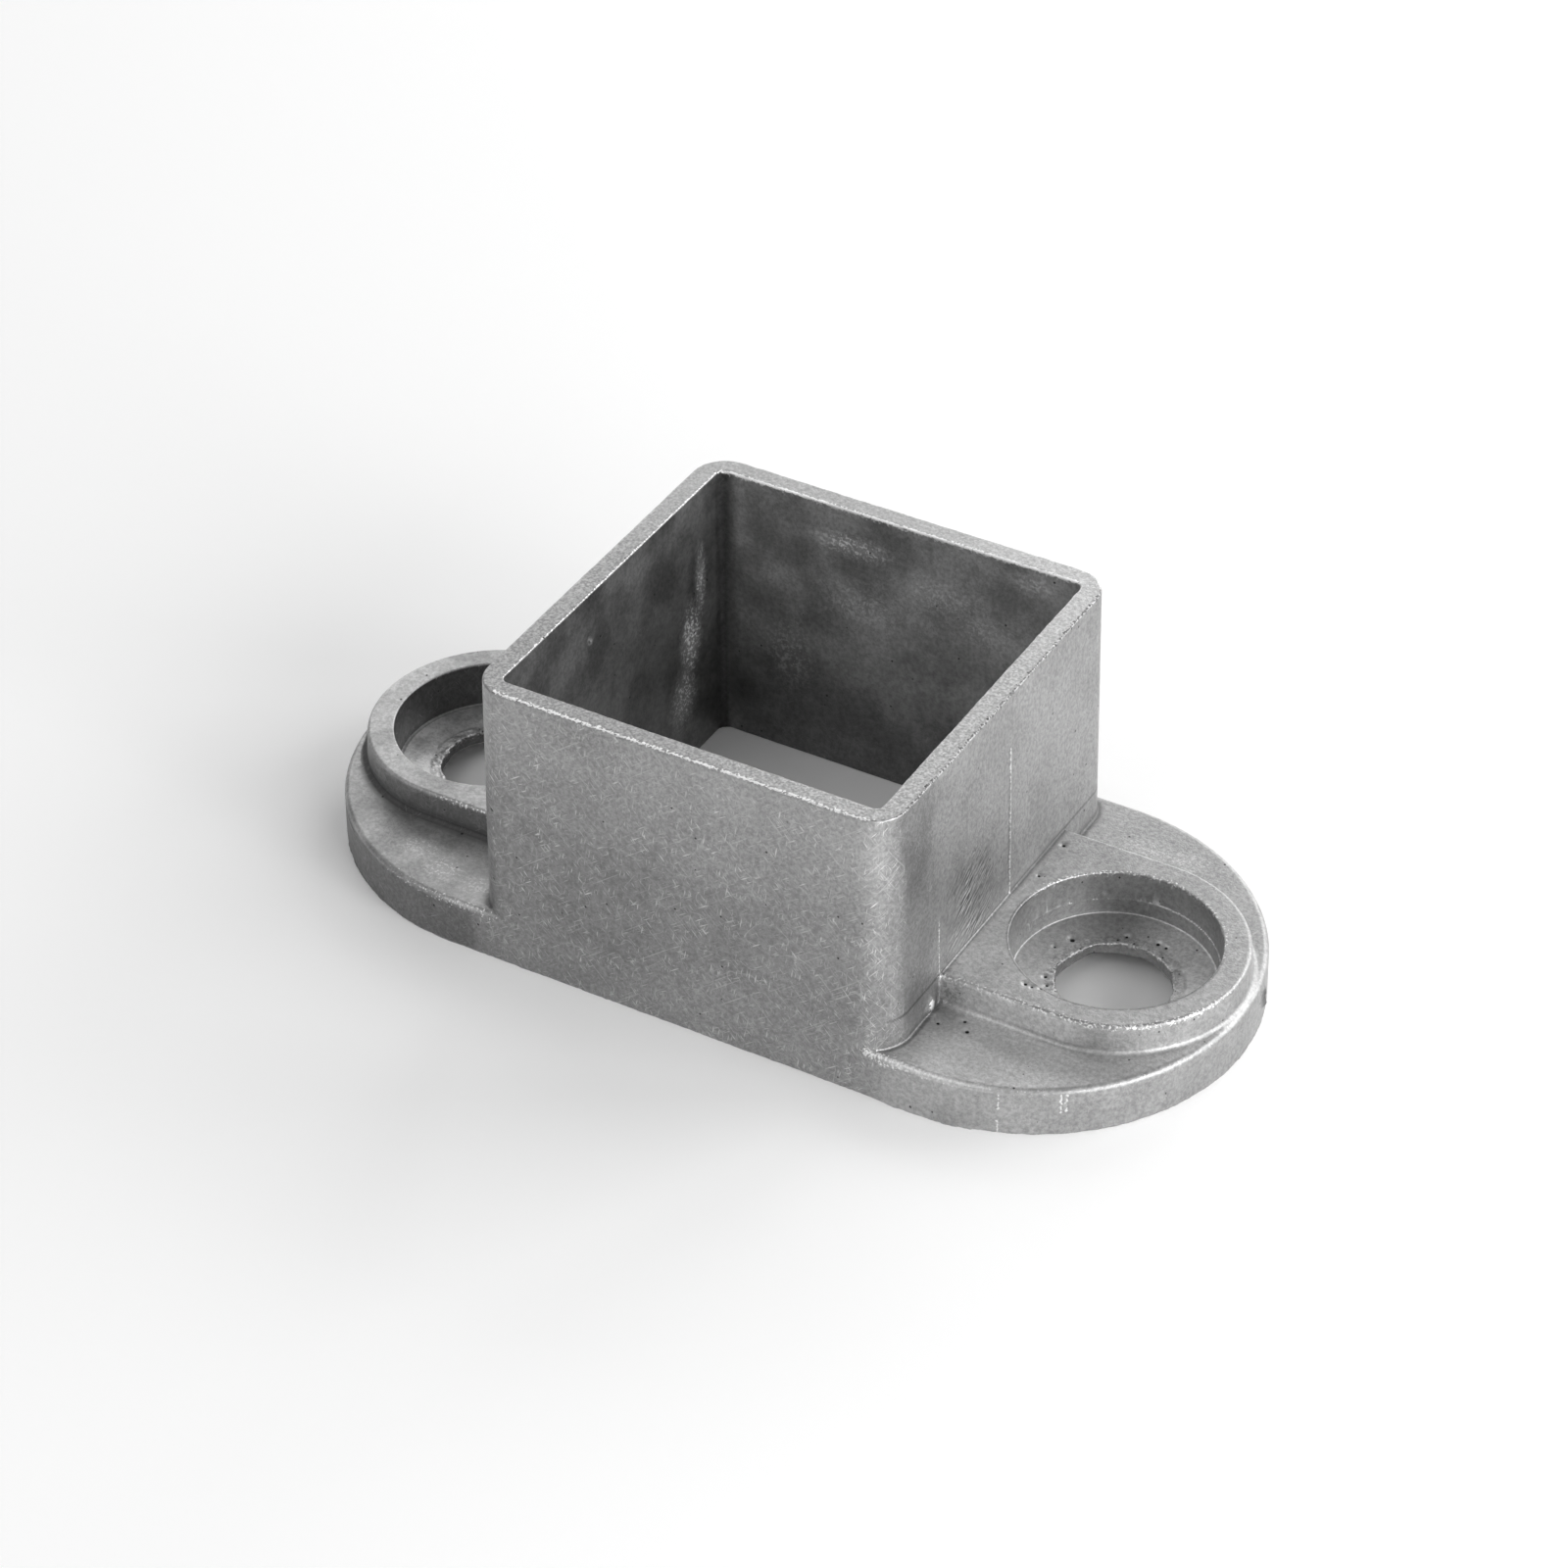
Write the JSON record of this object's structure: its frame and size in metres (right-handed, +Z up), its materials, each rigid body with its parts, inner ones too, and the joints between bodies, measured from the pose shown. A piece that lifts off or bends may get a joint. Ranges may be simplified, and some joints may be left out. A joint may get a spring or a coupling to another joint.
{
  "type": "square tube base flange",
  "caption": "Cast base flange: a square socket takes the end of a square tube, and ears with counterbored bolt holes fix it to a flat surface.",
  "frame": {"origin": "centre of the square socket on the underside of the base", "axes": "+X along the ears, +Y across them, +Z up the socket towards its rim"},
  "size_m": [0.0932, 0.044, 0.0306],
  "materials": {
    "cast_alloy": "raw die casting, satin grey, with a ground rim"
  },
  "bodies": {
    "root": {"flange_casting": "cast_alloy"}
  },
  "joints": []
}
